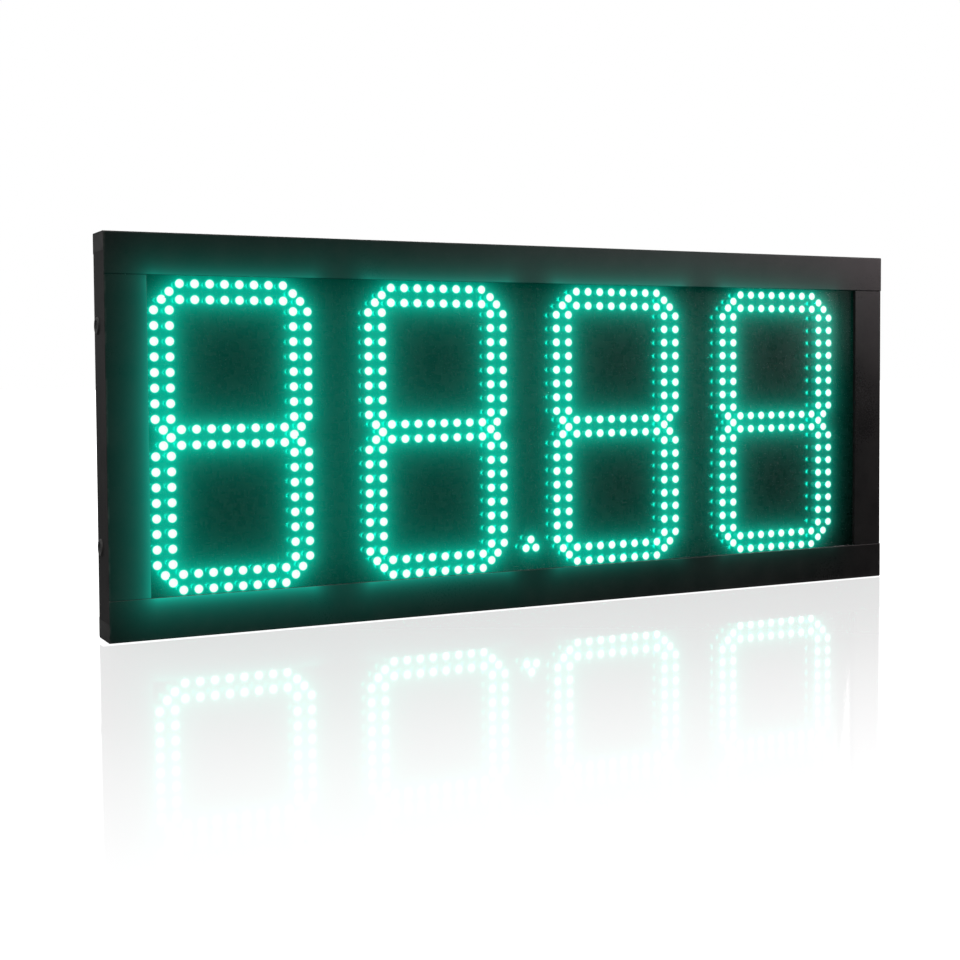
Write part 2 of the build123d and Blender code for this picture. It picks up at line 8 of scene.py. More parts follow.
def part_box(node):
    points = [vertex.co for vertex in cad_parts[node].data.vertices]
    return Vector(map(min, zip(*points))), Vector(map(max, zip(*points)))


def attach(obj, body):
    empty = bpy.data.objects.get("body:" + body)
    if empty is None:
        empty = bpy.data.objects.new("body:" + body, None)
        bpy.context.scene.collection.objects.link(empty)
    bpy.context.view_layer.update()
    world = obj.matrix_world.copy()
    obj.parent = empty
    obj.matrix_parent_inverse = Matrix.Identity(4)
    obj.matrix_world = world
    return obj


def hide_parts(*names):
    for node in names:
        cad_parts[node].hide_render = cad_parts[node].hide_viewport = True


# A wide number sign: lit lamps on dark boards behind a clear sheet, in a black painted frame.
# Metres. X runs along the sign, Y from its front to its back, Z up; it stands on Z = 0.

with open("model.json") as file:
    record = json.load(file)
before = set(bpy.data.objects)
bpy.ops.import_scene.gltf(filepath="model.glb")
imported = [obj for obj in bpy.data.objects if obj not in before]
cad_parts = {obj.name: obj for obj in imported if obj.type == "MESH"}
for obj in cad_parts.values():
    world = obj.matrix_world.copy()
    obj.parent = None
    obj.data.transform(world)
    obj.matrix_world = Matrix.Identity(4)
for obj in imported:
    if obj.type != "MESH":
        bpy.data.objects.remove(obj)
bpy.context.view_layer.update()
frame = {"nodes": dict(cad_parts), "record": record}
nodes = frame["nodes"]
print("frame loaded:", len(nodes), "nodes")

mm = 0.001
digitNames = ["digit_%d" % (i + 1) for i in range(4)]
frameLow = Vector(map(min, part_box("left_stile")[0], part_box("bottom_rail")[0]))
frameHigh = Vector(map(max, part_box("right_stile")[1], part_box("top_rail")[1]))
frameMiddle = (frameLow + frameHigh) / 2
frameHalf = (frameHigh - frameLow) / 2


# Small helpers for node trees


def newNode(tree, kind, **values):
    node = tree.nodes.new("ShaderNode" + kind)
    for key, value in values.items():
        setattr(node, key, value)
    return node


def join(tree, source, target):
    tree.links.new(source, target)


def doMath(tree, operation, first, second=None, third=None, clamp=False):
    # one Math node; each operand is a number or another node's output
    node = newNode(tree, "Math", operation=operation, use_clamp=clamp)
    for socket, value in zip(node.inputs, (first, second, third)):
        if isinstance(value, bpy.types.NodeSocket):
            join(tree, value, socket)
        elif value is not None:
            socket.default_value = value
    return node.outputs[0]


def mapRange(tree, value, fromLow, fromHigh, toLow=0.0, toHigh=1.0, smooth=False):
    node = newNode(tree, "MapRange", interpolation_type="SMOOTHSTEP" if smooth else "LINEAR")
    join(tree, value, node.inputs["Value"])
    for name, number in zip(("From Min", "From Max", "To Min", "To Max"), (fromLow, fromHigh, toLow, toHigh)):
        node.inputs[name].default_value = number
    return node.outputs[0]


def blendColors(tree, share, first, second, kind="MIX"):
    node = newNode(tree, "Mix", data_type="RGBA", blend_type=kind)
    for socket, value in zip((node.inputs[0], node.inputs[6], node.inputs[7]), (share, first, second)):
        if isinstance(value, bpy.types.NodeSocket):
            join(tree, value, socket)
        else:
            socket.default_value = value
    return node.outputs[2]


def noiseAt(tree, position, scale, detail=2.0, roughness=0.5):
    node = newNode(tree, "TexNoise")
    join(tree, position, node.inputs["Vector"])
    node.inputs["Scale"].default_value = scale
    node.inputs["Detail"].default_value = detail
    node.inputs["Roughness"].default_value = roughness
    return node.outputs["Fac"]


def startGroup(name, inputs, outputs):
    # an empty node group with named sockets; returns its tree and its two end nodes
    tree = bpy.data.node_groups.new(name, "ShaderNodeTree")
    for label, (kind, value) in inputs.items():
        socket = tree.interface.new_socket(label, in_out="INPUT", socket_type="NodeSocket" + kind)
        if value is not None:
            socket.default_value = value
    for label, kind in outputs.items():
        tree.interface.new_socket(label, in_out="OUTPUT", socket_type="NodeSocket" + kind)
    return tree, tree.nodes.new("NodeGroupInput"), tree.nodes.new("NodeGroupOutput")


def placeGroup(tree, group, **values):
    # puts a group in a material; each value is a number, a colour or another node's output
    node = tree.nodes.new("ShaderNodeGroup")
    node.node_tree = group
    for label, value in values.items():
        socket = node.inputs[label]
        if isinstance(value, bpy.types.NodeSocket):
            join(tree, value, socket)
        else:
            socket.default_value = value
    return node


# Effects that several materials share


grainDetail = {
    "slowRoughness": 0.3,
    "fineRoughness": 0.12,
}


def makeGrainGroup():
    # fine relief and a slow drift of tone, both from noise on the surface's own place
    tree, start, end = startGroup(
        "surfaceGrain",
        {"Position": ("Vector", None), "Color": ("Color", (0.1, 0.1, 0.1, 1)), "Grain": ("Float", 600.0),
         "Drift": ("Float", 8.0), "Spread": ("Float", 0.3), "Roughness": ("Float", 0.4)},
        {"Color": "Color", "Height": "Float", "Roughness": "Float"})
    fine = newNode(tree, "TexNoise")
    fine.inputs["Detail"].default_value = 2.0
    join(tree, start.outputs["Position"], fine.inputs["Vector"])
    join(tree, start.outputs["Grain"], fine.inputs["Scale"])
    slow = newNode(tree, "TexNoise")
    slow.inputs["Detail"].default_value = 3.0
    join(tree, start.outputs["Position"], slow.inputs["Vector"])
    join(tree, start.outputs["Drift"], slow.inputs["Scale"])
    middle = doMath(tree, "SUBTRACT", slow.outputs["Fac"], 0.5)
    tone = doMath(tree, "ADD", doMath(tree, "MULTIPLY", middle, start.outputs["Spread"]), 1.0)
    scaled = newNode(tree, "VectorMath", operation="SCALE")
    join(tree, start.outputs["Color"], scaled.inputs[0])
    join(tree, tone, scaled.inputs["Scale"])
    rough = doMath(tree, "MULTIPLY_ADD", middle, grainDetail["slowRoughness"], start.outputs["Roughness"])
    fineMiddle = doMath(tree, "SUBTRACT", fine.outputs["Fac"], 0.5)
    fineRough = doMath(tree, "MULTIPLY_ADD", fineMiddle, grainDetail["fineRoughness"], rough)
    join(tree, scaled.outputs[0], end.inputs["Color"])
    join(tree, fine.outputs["Fac"], end.inputs["Height"])
    join(tree, fineRough, end.inputs["Roughness"])
    return tree


edgeDetail = {
    "patchScale": 60.0,
    "patchRange": (0.42, 0.66),
}


def makeEdgeGroup():
    # rubbed edges of a box: where two of the distances to its sides are small, broken up by noise
    tree, start, end = startGroup(
        "edgeWear",
        {"Position": ("Vector", None), "Middle": ("Vector", (0, 0, 0)), "Half Size": ("Vector", (1, 1, 1)),
         "Width": ("Float", 0.001), "Amount": ("Float", 0.5)},
        {"Mask": "Float"})
    offset = newNode(tree, "VectorMath", operation="SUBTRACT")
    join(tree, start.outputs["Position"], offset.inputs[0])
    join(tree, start.outputs["Middle"], offset.inputs[1])
    reach = newNode(tree, "VectorMath", operation="ABSOLUTE")
    join(tree, offset.outputs[0], reach.inputs[0])
    inward = newNode(tree, "VectorMath", operation="SUBTRACT")
    join(tree, start.outputs["Half Size"], inward.inputs[0])
    join(tree, reach.outputs[0], inward.inputs[1])
    parts = newNode(tree, "SeparateXYZ")
    join(tree, inward.outputs[0], parts.inputs[0])
    near = []
    for axis in range(3):
        share = doMath(tree, "DIVIDE", parts.outputs[axis], start.outputs["Width"])
        near.append(doMath(tree, "SUBTRACT", 1.0, share, clamp=True))
    pairs = [doMath(tree, "MULTIPLY", near[a], near[b]) for a, b in ((0, 1), (1, 2), (2, 0))]
    edge = doMath(tree, "ADD", doMath(tree, "ADD", pairs[0], pairs[1]), pairs[2])
    patches = noiseAt(tree, start.outputs["Position"], edgeDetail["patchScale"], 4.0, 0.7)
    broken = mapRange(tree, patches, *edgeDetail["patchRange"])
    worn = doMath(tree, "MULTIPLY", edge, broken)
    join(tree, doMath(tree, "MULTIPLY", worn, start.outputs["Amount"], clamp=True), end.inputs["Mask"])
    return tree


dustDetail = {
    "facing": (0.2, 0.95),
    "uprightShare": 0.12,
    "cloudScale": 35.0,
    "cloudRange": (0.35, 0.75),
    "cloudCover": 0.7,
    "speckScale": 900.0,
    "speckRange": (0.62, 0.72),
    "speckCover": 0.6,
}


def makeDustGroup():
    # pale dust that has settled where a surface faces up, with a little all over
    tree, start, end = startGroup(
        "settledDust",
        {"Position": ("Vector", None), "Normal": ("Vector", (0, 0, 1)), "Color": ("Color", (0.1, 0.1, 0.1, 1)),
         "Dust Color": ("Color", (0.35, 0.33, 0.3, 1)), "Amount": ("Float", 0.2)},
        {"Color": "Color", "Mask": "Float"})
    parts = newNode(tree, "SeparateXYZ")
    join(tree, start.outputs["Normal"], parts.inputs[0])
    facingUp = mapRange(tree, parts.outputs["Z"], *dustDetail["facing"], dustDetail["uprightShare"], 1.0)
    cloud = mapRange(tree, noiseAt(tree, start.outputs["Position"], dustDetail["cloudScale"], 5.0, 0.65),
                     *dustDetail["cloudRange"])
    specks = mapRange(tree, noiseAt(tree, start.outputs["Position"], dustDetail["speckScale"], 1.0),
                      *dustDetail["speckRange"])
    cover = doMath(tree, "ADD", doMath(tree, "MULTIPLY", cloud, dustDetail["cloudCover"]),
                   doMath(tree, "MULTIPLY", specks, dustDetail["speckCover"]))
    mask = doMath(tree, "MULTIPLY", doMath(tree, "MULTIPLY", cover, facingUp), start.outputs["Amount"], clamp=True)
    color = blendColors(tree, mask, start.outputs["Color"], start.outputs["Dust Color"])
    join(tree, color, end.inputs["Color"])
    join(tree, mask, end.inputs["Mask"])
    return tree


brushDetail = {
    "tone": (0.82, 1.12),
    "lineRoughness": 0.25,
    "patchScale": 25.0,
    "patchRoughness": 0.2,
}


def makeBrushGroup():
    # fine lines left by rolling or brushing, drawn out along one axis by the stretch
    tree, start, end = startGroup(
        "brushedLines",
        {"Position": ("Vector", None), "Stretch": ("Vector", (8, 900, 900)), "Color": ("Color", (0.6, 0.6, 0.6, 1)),
         "Roughness": ("Float", 0.3)},
        {"Color": "Color", "Height": "Float", "Roughness": "Float"})
    drawn = newNode(tree, "VectorMath", operation="MULTIPLY")
    join(tree, start.outputs["Position"], drawn.inputs[0])
    join(tree, start.outputs["Stretch"], drawn.inputs[1])
    lines = noiseAt(tree, drawn.outputs[0], 1.0, 4.0, 0.6)
    patches = noiseAt(tree, start.outputs["Position"], brushDetail["patchScale"], 3.0)
    tone = mapRange(tree, lines, 0.2, 0.8, *brushDetail["tone"])
    scaled = newNode(tree, "VectorMath", operation="SCALE")
    join(tree, start.outputs["Color"], scaled.inputs[0])
    join(tree, tone, scaled.inputs["Scale"])
    rough = doMath(tree, "MULTIPLY_ADD", doMath(tree, "SUBTRACT", lines, 0.5), brushDetail["lineRoughness"],
                   start.outputs["Roughness"])
    patchy = doMath(tree, "MULTIPLY_ADD", doMath(tree, "SUBTRACT", patches, 0.5), brushDetail["patchRoughness"],
                    rough, clamp=True)
    join(tree, scaled.outputs[0], end.inputs["Color"])
    join(tree, lines, end.inputs["Height"])
    join(tree, patchy, end.inputs["Roughness"])
    return tree


paintedSpillDetail = {
    "facing": (-0.3, -0.9),
    "lastDigit": 3.0,
    "wideFall": 0.28,  # the wide part falls off this much as fast as the near part
    "outsideFall": 8.0,  # past the outer digits, how fast the next digit's light is lost
}


def makePaintedSpillGroup():
    # painted lamplight: a glow painted into the surface where the lamps' light spills past the sheet; it falls off
    # with the distance to the outlines of the nearest digit and of the next one, steeply at first and then more
    # slowly
    tree, start, end = startGroup(
        "paintedLampSpill",
        {"Position": ("Vector", None), "Normal": ("Vector", (0, -1, 0)), "First Middle": ("Float", 0.0),
         "Pitch": ("Float", 0.2), "Middle Height": ("Float", 0.2), "Half Width": ("Float", 0.08),
         "Half Height": ("Float", 0.15), "Reach": ("Float", 0.01), "Strength": ("Float", 0.3),
         "Wide": ("Float", 0.2), "Tint": ("Color", (0.01, 1, 0.72, 1))},
        {"Color": "Color"})
    parts = newNode(tree, "SeparateXYZ")
    join(tree, start.outputs["Position"], parts.inputs[0])
    halfPitch = doMath(tree, "MULTIPLY", start.outputs["Pitch"], 0.5)
    fromFirst = doMath(tree, "SUBTRACT", parts.outputs["X"], start.outputs["First Middle"])
    steps = doMath(tree, "ROUND", doMath(tree, "DIVIDE", fromFirst, start.outputs["Pitch"]))
    digit = doMath(tree, "MINIMUM", doMath(tree, "MAXIMUM", steps, 0.0), paintedSpillDetail["lastDigit"])
    along = doMath(tree, "ABSOLUTE", doMath(tree, "MULTIPLY_ADD", digit,
                                            doMath(tree, "MULTIPLY", halfPitch, -2.0), fromFirst))
    up = doMath(tree, "ABSOLUTE", doMath(tree, "SUBTRACT", parts.outputs["Z"], start.outputs["Middle Height"]))
    pastTop = doMath(tree, "MAXIMUM", doMath(tree, "SUBTRACT", up, start.outputs["Half Height"]), 0.0)
    pastLast = doMath(tree, "MULTIPLY_ADD", start.outputs["Pitch"], -paintedSpillDetail["lastDigit"], fromFirst)
    outside = doMath(tree, "MAXIMUM", doMath(tree, "MULTIPLY", fromFirst, -1.0), pastLast)
    toNext = doMath(tree, "MULTIPLY_ADD", doMath(tree, "MAXIMUM", outside, 0.0), paintedSpillDetail["outsideFall"],
                    doMath(tree, "SUBTRACT", start.outputs["Pitch"], along))
    fall = 0.0
    for sideways in (along, toNext):
        pastEdge = doMath(tree, "SUBTRACT", sideways, start.outputs["Half Width"])
        pastSide = doMath(tree, "MAXIMUM", pastEdge, 0.0)
        square = doMath(tree, "ADD", doMath(tree, "MULTIPLY", pastSide, pastSide),
                        doMath(tree, "MULTIPLY", pastTop, pastTop))
        share = doMath(tree, "DIVIDE", doMath(tree, "SQRT", square), start.outputs["Reach"])
        near = doMath(tree, "EXPONENT", doMath(tree, "MULTIPLY", share, -1.0))
        wide = doMath(tree, "EXPONENT", doMath(tree, "MULTIPLY", share, -paintedSpillDetail["wideFall"]))
        both = doMath(tree, "MULTIPLY_ADD", wide, start.outputs["Wide"], near)
        fall = doMath(tree, "ADD", both, fall)
    facing = newNode(tree, "SeparateXYZ")
    join(tree, start.outputs["Normal"], facing.inputs[0])
    front = mapRange(tree, facing.outputs["Y"], *paintedSpillDetail["facing"])
    light = doMath(tree, "MULTIPLY", doMath(tree, "MULTIPLY", fall, front), start.outputs["Strength"])
    scaled = newNode(tree, "VectorMath", operation="SCALE")
    join(tree, start.outputs["Tint"], scaled.inputs[0])
    join(tree, light, scaled.inputs["Scale"])
    join(tree, scaled.outputs[0], end.inputs["Color"])
    return tree


grainGroup = makeGrainGroup()
edgeGroup = makeEdgeGroup()
dustGroup = makeDustGroup()
brushGroup = makeBrushGroup()
paintedSpillGroup = makePaintedSpillGroup()
print("shared effects built")


# Lamp field, worked out from the first digit's lamps

lampField = {
    "lampPitch": 15.2 * mm,
    "lampsInRow": 8,
    "rowGap": 15.6 * mm,
    "cornerStep": 10.4 * mm,
    "pointDrop": 132.3 * mm,
    "pointRise": 9.4 * mm,
    "pointSpread": 12.5 * mm,
}


def nodeMiddle(name):
    low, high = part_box(name)
    return (low + high) / 2


def digitPlaces():
    # centres of one digit's lamps about its middle: straight runs of lamps in two rows, plus those
    # that turn each corner and each end of the middle bar
    pitch = lampField["lampPitch"]
    gap = lampField["rowGap"]
    step = lampField["cornerStep"]
    halfRow = (lampField["lampsInRow"] - 1) / 2 * pitch
    row = np.linspace(-halfRow, halfRow, lampField["lampsInRow"])
    barMiddle = gap / 2 + step + halfRow
    wide = halfRow + step + gap
    high = barMiddle + halfRow + step + gap
    places = []
    for up in (1, -1):
        for z in (high, high - gap, gap / 2):
            places += [(x, up * z) for x in row]
        for side in (1, -1):
            for x in (wide, wide - gap):
                places += [(side * x, up * (z + barMiddle)) for z in row]
            places += [(side * (wide - gap), up * (high - gap / 2)), (side * (wide - gap / 2), up * (high - gap)),
                       (side * (wide - gap / 2), up * gap / 2)]
    places += [(wide - gap, 0.0), (gap - wide, 0.0)]
    return np.array(places), wide, high


def pointPlaces():
    drop = lampField["pointDrop"]
    half = lampField["pointSpread"] / 2
    return np.array([(-half, -drop), (half, -drop), (0.0, lampField["pointRise"] - drop)])


digitShape, digitHalfWidth, digitHalfHeight = digitPlaces()
digitMiddles = [nodeMiddle(name + "_lamps") for name in digitNames]
digitPitch = (digitMiddles[3].x - digitMiddles[0].x) / 3
pointMiddle = (digitMiddles[1] + digitMiddles[2]) / 2
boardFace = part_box("digit_1_lamps")[1].y
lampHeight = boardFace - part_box("digit_1_lamps")[0].y


# Lamps

lampShape = {
    "flangeRadius": 2.95 * mm,
    "flangeHeight": 1.0 * mm,
    "bodyRadius": 2.5 * mm,
    "domeRings": 3,
    "segments": 10,
}


def lampProfile():
    # radius and height of each ring: a flange, a straight body and a quarter circle up to the tip,
    # where the radius is body radius cos a and the height grows with body radius sin a
    body = lampShape["bodyRadius"]
    angles = np.linspace(0, np.pi / 2, lampShape["domeRings"] + 1)[:-1]
    radius = np.r_[lampShape["flangeRadius"], lampShape["flangeRadius"], body, body * np.cos(angles)]
    height = np.r_[0, lampShape["flangeHeight"], lampShape["flangeHeight"], lampHeight - body + body * np.sin(angles)]
    return radius, height


def buildLamps(name, places, middle):
    # every lamp is the profile turned about an axis that points at the viewer:
    # x = place + radius cos a, z = place + radius sin a, y = board face - height
    radius, height = lampProfile()
    count = lampShape["segments"]
    turn = np.arange(count) * 2 * np.pi / count
    ringX = radius[:, None] * np.cos(turn)
    ringZ = radius[:, None] * np.sin(turn)
    ringY = np.repeat(-height[:, None], count, axis=1)
    one = np.stack([ringX, ringY, ringZ], axis=-1).reshape(-1, 3)
    one = np.vstack([one, (0, -lampHeight, 0)])
    at = np.column_stack([middle.x + places[:, 0], np.full(len(places), boardFace), middle.z + places[:, 1]])
    points = (at[:, None, :] + one[None, :, :]).reshape(-1, 3)
    ring = np.arange(len(radius) - 1)[:, None] * count
    now = np.arange(count)
    after = (now + 1) % count
    quads = np.stack([ring + now, ring + after, ring + after + count, ring + now + count], axis=-1).reshape(-1, 4)
    last = (len(radius) - 1) * count
    tips = np.stack([last + now, last + after, np.full(count, len(one) - 1)], axis=-1)
    faces = []
    for start in range(0, len(points), len(one)):
        faces += (quads + start).tolist() + (tips + start).tolist() + [(now[::-1] + start).tolist()]
    mesh = bpy.data.meshes.new(name)
    mesh.from_pydata(points.tolist(), [], faces)
    mesh.update()
    mesh.shade_smooth()
    piece = bpy.data.objects.new(name, mesh)
    bpy.context.scene.collection.objects.link(piece)
    return piece


lampPieces = []
for name, middle in zip(digitNames, digitMiddles):
    lampPieces.append((buildLamps(name + "_lit_lamps", digitShape, middle), name + "_lamps"))
lampPieces.append((buildLamps("decimal_point_lit_lamps", pointPlaces(),
                              Vector((pointMiddle.x, 0, digitMiddles[0].z))), "decimal_point_lamps"))
for piece, node in lampPieces:
    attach(piece, "root")
    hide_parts(node)
print("lamps built:", sum(len(piece.data.polygons) for piece, node in lampPieces), "faces")


# Clear sheet, with a painted glow of the lamps on its back

# painted light: the glow, halo and white cores painted on the sheet as emission around each lamp
paintedSheetGlow = {
    "cell": 3.0 * mm,
    "coreStrength": 20.0,
    "coreReach": 2.3 * mm,
    "spotReach": 1.9 * mm,
    "spotStrength": 26.0,
    "haloStrength": 0.36,
    "haloReach": 5.5 * mm,
    "fringeStrength": 0.04,
    "fringeReach": 13.0 * mm,
    "wideGlowStrength": 0.006,
    "wideGlowReach": 25.0 * mm,
    "farAway": 10.0,  # a lamp place for the faces that have no lamp, in metres
    # how strong the painted wide glow is at places along the sign: it is weaker towards the right
    "wideGlowPlaces": (-0.35, -0.12, 0.1, 0.33, 0.44),
    "wideGlowShares": (1.9, 1.9, 1.1, 0.6, 0.3),
    # the painted fringe and wide glow thin out past the last digit, most of all low down, and the painted halo half
    # as much
    "thinPlaces": (0.34, 0.43),
    "thinHeights": (0.08, 0.34),
    "thinShares": (0.85, 0.15),
}


def allLampPlaces():
    return np.vstack([digitShape + (m.x, m.z) for m in digitMiddles]
                     + [pointPlaces() + (pointMiddle.x, digitMiddles[0].z)])


def paintedGlowAt(x, z):
    # painted glow: the sum over all lamps of a near halo, a fringe and a wide glow, each falling with distance
    total = np.zeros_like(x)
    thin = np.interp(x, paintedSheetGlow["thinPlaces"], (0, 1))
    thin = thin * np.interp(z, paintedSheetGlow["thinHeights"], paintedSheetGlow["thinShares"])
    halo = paintedSheetGlow["haloStrength"] * (1 - thin / 2)
    fringe = paintedSheetGlow["fringeStrength"] * (1 - thin)
    wideGlow = paintedSheetGlow["wideGlowStrength"] * (1 - thin)
    wideGlow = wideGlow * np.interp(x, paintedSheetGlow["wideGlowPlaces"], paintedSheetGlow["wideGlowShares"])
    for cx, cz in allLampPlaces():
        distance = np.hypot(x - cx, z - cz)
        total += halo * np.exp(-distance / paintedSheetGlow["haloReach"])
        total += fringe * np.exp(-distance / paintedSheetGlow["fringeReach"])
        total += wideGlow * np.exp(-distance / paintedSheetGlow["wideGlowReach"])
    return total


def buildSheet():
    # a slab: its back is a flat grid in x and z at the painted glow's spacing, which carries the painted glow, its
    # front is one face, and its edges run from the grid's rim straight to the front
    low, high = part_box("front_window")
    across = int(round((high.x - low.x) / paintedSheetGlow["cell"])) + 1
    upward = int(round((high.z - low.z) / paintedSheetGlow["cell"])) + 1
    x, z = np.meshgrid(np.linspace(low.x, high.x, across), np.linspace(low.z, high.z, upward))
    back = np.stack([x, np.full_like(x, high.y), z], axis=-1).reshape(-1, 3)
    index = np.arange(across * upward).reshape(upward, across)
    quads = np.stack([index[:-1, :-1], index[1:, :-1], index[1:, 1:], index[:-1, 1:]], axis=-1).reshape(-1, 4)
    rim = np.concatenate([index[0, :-1], index[:-1, -1], index[-1, :0:-1], index[:0:-1, 0]])
    front = back[rim] * (1, 0, 1) + (0, low.y, 0)
    frontRim = len(back) + np.arange(len(rim))
    sides = np.stack([rim, np.roll(rim, -1), np.roll(frontRim, -1), frontRim], axis=-1)
    mesh = bpy.data.meshes.new("clear_front_sheet")
    mesh.from_pydata(np.vstack([back, front]).tolist(), [], quads.tolist() + sides.tolist() + [frontRim.tolist()])
    mesh.update()
    paintedGlow = np.zeros(len(back) + len(front), np.float32)
    paintedGlow[:len(back)] = paintedGlowAt(x, z).ravel()
    attribute = mesh.attributes.new("paintedGlow", "FLOAT", "POINT")
    attribute.data.foreach_set("value", paintedGlow)
    # each face of the grid knows the lamp nearest to it, so that a lamp's painted spot stays a true circle
    middles = back[quads].mean(axis=1)
    places = allLampPlaces()
    apart = np.hypot(middles[:, None, 0] - places[None, :, 0], middles[:, None, 2] - places[None, :, 1])
    nearest = apart.argmin(axis=1)
    lamp = np.full((len(mesh.polygons), 3), paintedSheetGlow["farAway"], np.float32)
    lamp[:len(quads)] = np.column_stack([places[nearest, 0], middles[:, 1], places[nearest, 1]])
    attribute = mesh.attributes.new("lampPlace", "FLOAT_VECTOR", "FACE")
    attribute.data.foreach_set("vector", lamp.ravel())
    piece = bpy.data.objects.new("clear_front_sheet", mesh)
    bpy.context.scene.collection.objects.link(piece)
    return piece


clearSheet = buildSheet()
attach(clearSheet, "root")
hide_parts("front_window")
print("sheet built:", len(clearSheet.data.polygons), "faces")


# Materials


def startMaterial(name, color, roughness, metallic=0.0, **more):
    # a Principled material with its plain values set; returns its tree, shader and object position
    material = bpy.data.materials.new(name)
    material.use_nodes = True
    tree = material.node_tree
    shader = tree.nodes["Principled BSDF"]
    shader.inputs["Base Color"].default_value = (*color, 1)
    shader.inputs["Roughness"].default_value = roughness
    shader.inputs["Metallic"].default_value = metallic
    for label, value in more.items():
        shader.inputs[label.replace("_", " ")].default_value = value
    position = newNode(tree, "TexCoord").outputs["Object"]
    return material, tree, shader, position


def addBump(tree, shader, height, depth, strength=1.0):
    bump = newNode(tree, "Bump")
    bump.inputs["Strength"].default_value = strength
    bump.inputs["Distance"].default_value = depth
    join(tree, height, bump.inputs["Height"])
    join(tree, bump.outputs["Normal"], shader.inputs["Normal"])


def paintedMetal(name, values):
    material, tree, shader, position = startMaterial(name, values["color"], values["roughness"],
                                                     Specular_IOR_Level=values["shine"])
    normal = newNode(tree, "NewGeometry").outputs["Normal"]
    grain = placeGroup(tree, grainGroup, Position=position, Color=(*values["color"], 1), Grain=values["grain"],
                       Drift=values["drift"], Spread=values["spread"], Roughness=values["roughness"])
    wear = placeGroup(tree, edgeGroup, Position=position, Middle=frameMiddle, **{"Half Size": frameHalf},
                      Width=values["wearWidth"], Amount=values["wearAmount"])
    worn = blendColors(tree, wear.outputs["Mask"], grain.outputs["Color"], (*values["wearColor"], 1))
    dust = placeGroup(tree, dustGroup, Position=position, Normal=normal, Color=worn, Amount=values["dust"])
    join(tree, dust.outputs["Color"], shader.inputs["Base Color"])
    parts = newNode(tree, "SeparateXYZ")
    join(tree, normal, parts.inputs[0])
    sideways = doMath(tree, "ABSOLUTE", parts.outputs["X"])
    duller = values["sideRoughness"] - values["roughness"]
    flatter = mapRange(tree, sideways, *values["sideFacing"], 0.0, duller)
    join(tree, doMath(tree, "ADD", grain.outputs["Roughness"], flatter), shader.inputs["Roughness"])
    addBump(tree, shader, grain.outputs["Height"], values["relief"])
    # painted light: a teal glow painted as emission on the frame's front near the digits
    if values["paintedSpill"]:
        place = newNode(tree, "SeparateXYZ")
        join(tree, position, place.inputs[0])
        # the painted lamplight fades towards the right end, and lower down it is stronger at the left than at the
        # right
        fade = mapRange(tree, place.outputs["X"], *values["spillFade"], *values["spillEnds"], smooth=True)
        lower = mapRange(tree, place.outputs["Z"], *values["spillHeights"])
        lean = mapRange(tree, place.outputs["X"], *values["spillPlaces"], values["spillLean"], -values["spillLean"])
        leant = doMath(tree, "MULTIPLY_ADD", lower, lean, 1.0)
        strength = doMath(tree, "MULTIPLY", doMath(tree, "MULTIPLY", fade, leant), values["paintedSpill"])
        paintedSpill = placeGroup(tree, paintedSpillGroup, Position=position, Normal=normal, Pitch=digitPitch,
                           Strength=strength, Reach=values["spillReach"], Wide=values["spillWide"],
                           **{"First Middle": digitMiddles[0].x, "Middle Height": digitMiddles[0].z,
                              "Half Width": digitHalfWidth, "Half Height": digitHalfHeight})
        join(tree, paintedSpill.outputs["Color"], shader.inputs["Emission Color"])
        shader.inputs["Emission Strength"].default_value = 1.0
    return material


framePaint = {
    "color": (0.0048, 0.0044, 0.0046),
    "roughness": 0.32,
    "sideRoughness": 0.75,
    "sideFacing": (0.3, 0.9),
    "shine": 0.15,
    "grain": 700.0,
    "drift": 6.0,
    "spread": 0.35,
    "relief": 0.00005,
    "wearWidth": 2.2 * mm,
    "wearAmount": 0.35,
    "wearColor": (0.09, 0.085, 0.08),
    "dust": 0.16,
    # strength, reach and fall-off of the lamplight glow painted on the frame's front
    "paintedSpill": 0.36,
    "spillReach": 5.5 * mm,
    "spillWide": 0.24,
    "spillFade": (0.15, 0.5),
    "spillEnds": (1.3, 0.15),
    "spillHeights": (0.36, 0.22),
    "spillPlaces": (-0.47, 0.15),
    "spillLean": 0.75,
}
coverPaint = dict(framePaint, color=(0.016, 0.016, 0.017), roughness=0.48, shine=0.25, grain=500.0, dust=0.2,
                  paintedSpill=0.0)


def mouldedPlastic(name, values):
    material, tree, shader, position = startMaterial(name, values["color"], values["roughness"],
                                                     Specular_IOR_Level=values["shine"])
    normal = newNode(tree, "NewGeometry").outputs["Normal"]
    grain = placeGroup(tree, grainGroup, Position=position, Color=(*values["color"], 1), Grain=values["grain"],
                       Drift=plasticTone["drift"], Spread=plasticTone["spread"], Roughness=values["roughness"])
    dust = placeGroup(tree, dustGroup, Position=position, Normal=normal, Color=grain.outputs["Color"],
                      Amount=values["dust"])
    join(tree, dust.outputs["Color"], shader.inputs["Base Color"])
    join(tree, grain.outputs["Roughness"], shader.inputs["Roughness"])
    addBump(tree, shader, grain.outputs["Height"], values["relief"])
    return material


